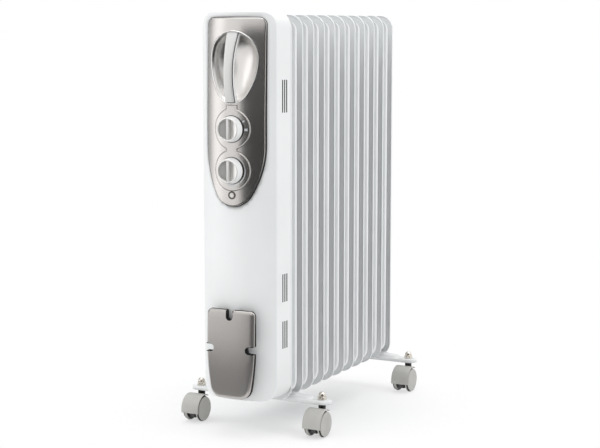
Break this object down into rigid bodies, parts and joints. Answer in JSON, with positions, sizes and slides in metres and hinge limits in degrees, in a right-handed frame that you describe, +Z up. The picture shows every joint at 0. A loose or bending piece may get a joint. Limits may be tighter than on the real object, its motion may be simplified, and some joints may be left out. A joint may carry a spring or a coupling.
{
  "type": "oil filled radiator heater",
  "caption": "Upright white oil filled electric heater: a row of pressed sections, control housing with grip handle, two knobs and cord storage, on swivelling twin-wheel casters.",
  "frame": {"origin": "on the floor, under the middle of the whole heater", "axes": "+Z up, -Y towards the control side, +X to the right when seen from the control side"},
  "size_m": [0.2426, 0.4536, 0.636],
  "materials": {
    "body_paint": "smooth white paint",
    "fin_paint": "smooth white paint",
    "leg_paint": "smooth white paint",
    "panel_silver": "warm silver satin",
    "handle_silver": "bright silver",
    "knob_cream": "cream gloss",
    "lamp_dark": "dark grey",
    "lamp_lens": "pale grey, unlit",
    "plate_grey": "warm metallic grey satin",
    "hub_black": "black",
    "gland_rubber": "black",
    "switch_black": "black",
    "steel": "zinc plated",
    "nut_nickel": "nickel plated",
    "caster_grey": "light warm grey",
    "caster_black": "black"
  },
  "bodies": {
    "heater": {"front_cover": "body_paint", "housing_shell": "body_paint", "housing_back_plate": "body_paint", "control_panel": "panel_silver", "handle": "handle_silver", "dial_plate": "panel_silver", "power_switch": "switch_black", "thermostat": "switch_black", "lamp_holder": "lamp_dark", "lamp_lens": "lamp_lens", "cord_wrap_plate": "plate_grey", "cord_wrap_hub": "hub_black", "cord_gland": "gland_rubber", "upper_collars": "fin_paint", "lower_collars": "fin_paint", "filler_plug": "steel", "heating_element": "steel", "thermal_cutout": "switch_black", "terminal_block": "switch_black", "leg_front": "leg_paint", "leg_rear": "leg_paint", "leg_clamps": "steel", "clamp_bolts": "steel", "caster_stems": "steel", "dome_nuts": "nut_nickel", "section_01": "fin_paint", "section_02": "fin_paint", "section_03": "fin_paint", "section_04": "fin_paint", "section_05": "fin_paint", "section_06": "fin_paint", "section_07": "fin_paint", "section_08": "fin_paint", "section_09": "fin_paint", "section_10": "fin_paint", "section_11": "fin_paint"},
    "power_knob": {"knob_power": "knob_cream", "spindle_power": "steel"},
    "thermostat_knob": {"knob_thermostat": "knob_cream", "spindle_thermostat": "steel"},
    "front_left_caster": {"caster_front_left_core": "caster_black", "caster_front_left_axle": "steel", "caster_front_left_hood": "caster_grey"},
    "front_left_wheel_left": {"caster_front_left_wheel_left": "caster_grey"},
    "front_left_wheel_right": {"caster_front_left_wheel_right": "caster_grey"},
    "front_right_caster": {"caster_front_right_core": "caster_black", "caster_front_right_axle": "steel", "caster_front_right_hood": "caster_grey"},
    "front_right_wheel_left": {"caster_front_right_wheel_left": "caster_grey"},
    "front_right_wheel_right": {"caster_front_right_wheel_right": "caster_grey"},
    "rear_left_caster": {"caster_rear_left_core": "caster_black", "caster_rear_left_axle": "steel", "caster_rear_left_hood": "caster_grey"},
    "rear_left_wheel_left": {"caster_rear_left_wheel_left": "caster_grey"},
    "rear_left_wheel_right": {"caster_rear_left_wheel_right": "caster_grey"},
    "rear_right_caster": {"caster_rear_right_core": "caster_black", "caster_rear_right_axle": "steel", "caster_rear_right_hood": "caster_grey"},
    "rear_right_wheel_left": {"caster_rear_right_wheel_left": "caster_grey"},
    "rear_right_wheel_right": {"caster_rear_right_wheel_right": "caster_grey"}
  },
  "joints": [
    {"name": "power_knob_turn", "type": "hinge", "parent": "heater", "child": "power_knob", "pos_m": [0, -0.2176, 0.4655], "axis": [0, 1, 0], "range_deg": [0, 90]},
    {"name": "thermostat_knob_turn", "type": "hinge", "parent": "heater", "child": "thermostat_knob", "pos_m": [0, -0.2176, 0.4045], "axis": [0, 1, 0], "range_deg": [0, 210]},
    {"name": "front_left_swivel", "type": "hinge", "parent": "heater", "child": "front_left_caster", "pos_m": [-0.1061, -0.12635, 0.04], "axis": [0, 0, 1], "continuous": true},
    {"name": "front_left_wheel_left_roll", "type": "hinge", "parent": "front_left_caster", "child": "front_left_wheel_left", "pos_m": [-0.1061, -0.14135, 0.0198], "axis": [1, 0, 0], "continuous": true},
    {"name": "front_left_wheel_right_roll", "type": "hinge", "parent": "front_left_caster", "child": "front_left_wheel_right", "pos_m": [-0.1061, -0.14135, 0.0198], "axis": [1, 0, 0], "continuous": true},
    {"name": "front_right_swivel", "type": "hinge", "parent": "heater", "child": "front_right_caster", "pos_m": [0.1061, -0.12635, 0.04], "axis": [0, 0, 1], "continuous": true},
    {"name": "front_right_wheel_left_roll", "type": "hinge", "parent": "front_right_caster", "child": "front_right_wheel_left", "pos_m": [0.1061, -0.14135, 0.0198], "axis": [1, 0, 0], "continuous": true},
    {"name": "front_right_wheel_right_roll", "type": "hinge", "parent": "front_right_caster", "child": "front_right_wheel_right", "pos_m": [0.1061, -0.14135, 0.0198], "axis": [1, 0, 0], "continuous": true},
    {"name": "rear_left_swivel", "type": "hinge", "parent": "heater", "child": "rear_left_caster", "pos_m": [-0.1061, 0.20395, 0.04], "axis": [0, 0, 1], "continuous": true},
    {"name": "rear_left_wheel_left_roll", "type": "hinge", "parent": "rear_left_caster", "child": "rear_left_wheel_left", "pos_m": [-0.1061, 0.18895, 0.0198], "axis": [1, 0, 0], "continuous": true},
    {"name": "rear_left_wheel_right_roll", "type": "hinge", "parent": "rear_left_caster", "child": "rear_left_wheel_right", "pos_m": [-0.1061, 0.18895, 0.0198], "axis": [1, 0, 0], "continuous": true},
    {"name": "rear_right_swivel", "type": "hinge", "parent": "heater", "child": "rear_right_caster", "pos_m": [0.1061, 0.20395, 0.04], "axis": [0, 0, 1], "continuous": true},
    {"name": "rear_right_wheel_left_roll", "type": "hinge", "parent": "rear_right_caster", "child": "rear_right_wheel_left", "pos_m": [0.1061, 0.18895, 0.0198], "axis": [1, 0, 0], "continuous": true},
    {"name": "rear_right_wheel_right_roll", "type": "hinge", "parent": "rear_right_caster", "child": "rear_right_wheel_right", "pos_m": [0.1061, 0.18895, 0.0198], "axis": [1, 0, 0], "continuous": true}
  ]
}
